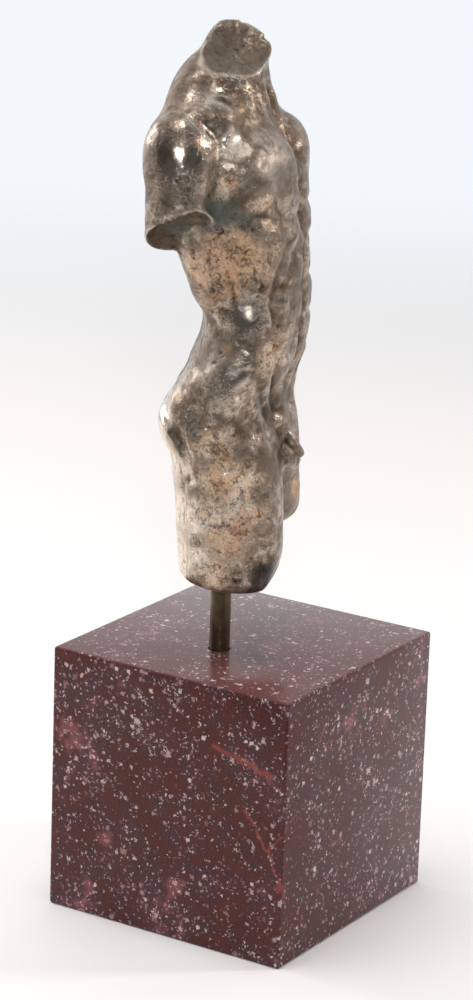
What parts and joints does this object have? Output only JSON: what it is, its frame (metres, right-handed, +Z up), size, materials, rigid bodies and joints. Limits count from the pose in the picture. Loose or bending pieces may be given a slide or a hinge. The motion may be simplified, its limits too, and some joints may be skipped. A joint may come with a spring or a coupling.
{
  "type": "torso sculpture",
  "caption": "Headless, armless standing male torso in tarnished cast silver, held on a round metal rod above a polished cubic stone plinth.",
  "frame": {"origin": "middle of the plinth's underside, on the surface it stands on", "axes": "+Z up along the figure's height; the plinth's sides lie along X and Y; the figure faces -Y, turned about 14 to 18 degrees toward +X, with its right side at -X"},
  "size_m": [0.0841, 0.08, 0.2597],
  "materials": {
    "tarnished_silver": "cast silver, polished on the high forms, brown, tan and black tarnish in the hollows, fine casting pits",
    "dark_metal": "smooth round bar with a dark olive-brown finish",
    "purple_stone": "polished dark purple-red porphyry with small pale crystals and thin red veins"
  },
  "bodies": {
    "root": {"torso": "tarnished_silver", "rod": "dark_metal", "plinth": "purple_stone"}
  },
  "joints": []
}
